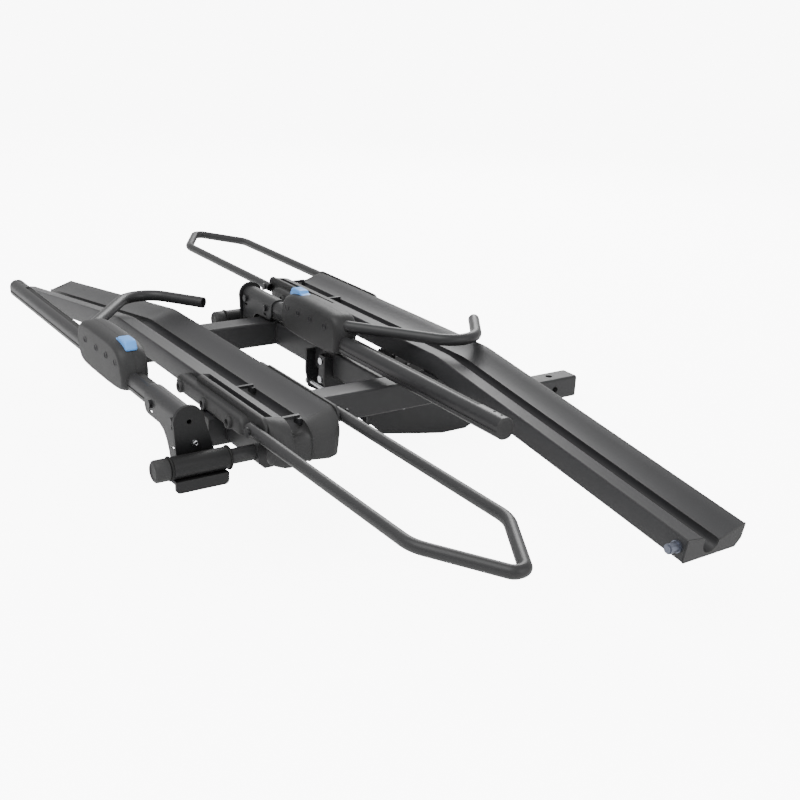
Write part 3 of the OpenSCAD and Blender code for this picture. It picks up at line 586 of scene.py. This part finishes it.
for key in "ab":
    # the ratchet strip's near-black is its own dark colour plus painted recess shade
    finish(addMesh("ratchetRun." + key, stripParts(key), "stripDarkAndPaintedShade", 20), bodyOf[key]["arm"], "moulded",
           "ratchet_strip_" + key)
    screw = addMesh("plateScrew." + key, plateScrewParts(key), "zincPlate", 30)
    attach(screw, bodyOf[key]["arm"])
for key in "ab":
    finish(addMesh("barEndDome." + key, barEndParts(key), "moulding", 40), bodyOf[key]["arm"], "moulded",
           "bar_cap_" + key)
plugs = addMesh("axleEndPlugs", plugParts("a") + plugParts("b"), "moulding", 40)
finish(plugs, "rack", "moulded", "axle_plugs")
rings = addMesh("axleSoftRings", ringParts("a") + ringParts("b"), "softRing", 60)
finish(rings, "rack", "soft_ring", "axle_rings")
print("stage: bar ends and axle trim")


# the floor's glow is seen by the camera only, so that it doesn't light the rack
studio = {"floorHalf": 9.0, "floorZ": -0.05, "floorTone": (0.96, 0.96, 0.96), "floorRough": 0.9,
          "floorCount": 40, "flatShare": 0.66, "rise": 0.12, "floorGlow": 8.0, "world": 1.0}


def makeFloor(values):
    # flat plane whose far edges rise by the square of the distance past two thirds, as a sweep
    count = values["floorCount"]
    line = np.linspace(-values["floorHalf"], values["floorHalf"], count)
    gridX, gridY = np.meshgrid(line, line)
    edge = np.maximum(np.hypot(gridX, gridY) - values["floorHalf"] * values["flatShare"], 0.0)
    points = np.stack([gridX, gridY, values["floorZ"] + values["rise"] * edge ** 2], axis=-1).reshape(-1, 3)
    index = np.arange(count * count).reshape(count, count)
    faces = np.stack([index[:-1, :-1], index[:-1, 1:], index[1:, 1:], index[1:, :-1]], axis=-1).reshape(-1, 4)
    mesh = bpy.data.meshes.new("studioFloor")
    mesh.from_pydata(points.tolist(), [], faces.tolist())
    mesh.polygons.foreach_set("use_smooth", np.ones(len(faces), dtype=bool))
    made = bpy.data.objects.new("studioFloor", mesh)
    bpy.context.collection.objects.link(made)
    paper = bpy.data.materials.new("studioPaper")
    paper.use_nodes = True
    shader = paper.node_tree.nodes["Principled BSDF"]
    shader.inputs["Base Color"].default_value = (*values["floorTone"], 1.0)
    shader.inputs["Roughness"].default_value = values["floorRough"]
    shader.inputs["Emission Color"].default_value = (1.0, 1.0, 1.0, 1.0)
    rays = addNode(paper.node_tree, "ShaderNodeLightPath")
    glow = addNode(paper.node_tree, "ShaderNodeMath", operation="MULTIPLY")
    glow.inputs[1].default_value = values["floorGlow"]
    paper.node_tree.links.new(rays.outputs["Is Camera Ray"], glow.inputs[0])
    paper.node_tree.links.new(glow.outputs["Value"], shader.inputs["Emission Strength"])
    mesh.materials.append(paper)
    return made


floor = makeFloor(studio)

world = bpy.data.worlds.new("studioWorld")
world.use_nodes = True
world.node_tree.nodes["Background"].inputs["Color"].default_value = (1.0, 1.0, 1.0, 1.0)
world.node_tree.nodes["Background"].inputs["Strength"].default_value = studio["world"]
bpy.context.scene.world = world

lamps = {
    "keyLamp": {"at": (0.6, -2.6, 3.2), "aim": (0.0, -0.6, 0.15), "size": 3.0, "power": 130.0},
    "rimLamp": {"at": (-2.6, 1.8, 2.4), "aim": (0.0, -0.5, 0.2), "size": 2.2, "power": 110.0},
    "fillLamp": {"at": (3.4, 0.4, 1.4), "aim": (0.0, -0.6, 0.1), "size": 2.6, "power": 40.0},
}
for lampName, values in lamps.items():
    lampData = bpy.data.lights.new(lampName, "AREA")
    lampData.shape = "DISK"
    lampData.size = values["size"]
    lampData.energy = values["power"]
    lamp = bpy.data.objects.new(lampName, lampData)
    lamp.location = values["at"]
    lamp.rotation_euler = (Vector(values["aim"]) - Vector(values["at"])).to_track_quat("-Z", "Y").to_euler()
    bpy.context.collection.objects.link(lamp)

# seen from the rack's outer right: metres, degrees, and millimetres for the lens and sensor
shot = {"at": (1.8447, -1.7120, 0.8703), "yaw": 35.05, "pitch": 20.29, "roll": 2.89, "lens": 51.0,
        "sensor": 36.0, "reach": 60.0}


def makeCamera(values):
    yaw, pitch, roll = (math.radians(values[key]) for key in ("yaw", "pitch", "roll"))
    ahead = Vector((-math.cos(yaw) * math.cos(pitch), math.sin(yaw) * math.cos(pitch), -math.sin(pitch)))
    level = ahead.cross(Vector((0.0, 0.0, 1.0))).normalized()
    upright = level.cross(ahead)
    right = level * math.cos(roll) + upright * math.sin(roll)
    up = upright * math.cos(roll) - level * math.sin(roll)
    data = bpy.data.cameras.new("shotCamera")
    data.lens = values["lens"]
    data.sensor_width = values["sensor"]
    data.clip_end = values["reach"]
    made = bpy.data.objects.new("shotCamera", data)
    turned = Matrix((right, up, -ahead)).transposed().to_4x4()
    made.matrix_world = Matrix.Translation(Vector(values["at"])) @ turned
    bpy.context.collection.objects.link(made)
    bpy.context.scene.camera = made


makeCamera(shot)
print("stage: studio")
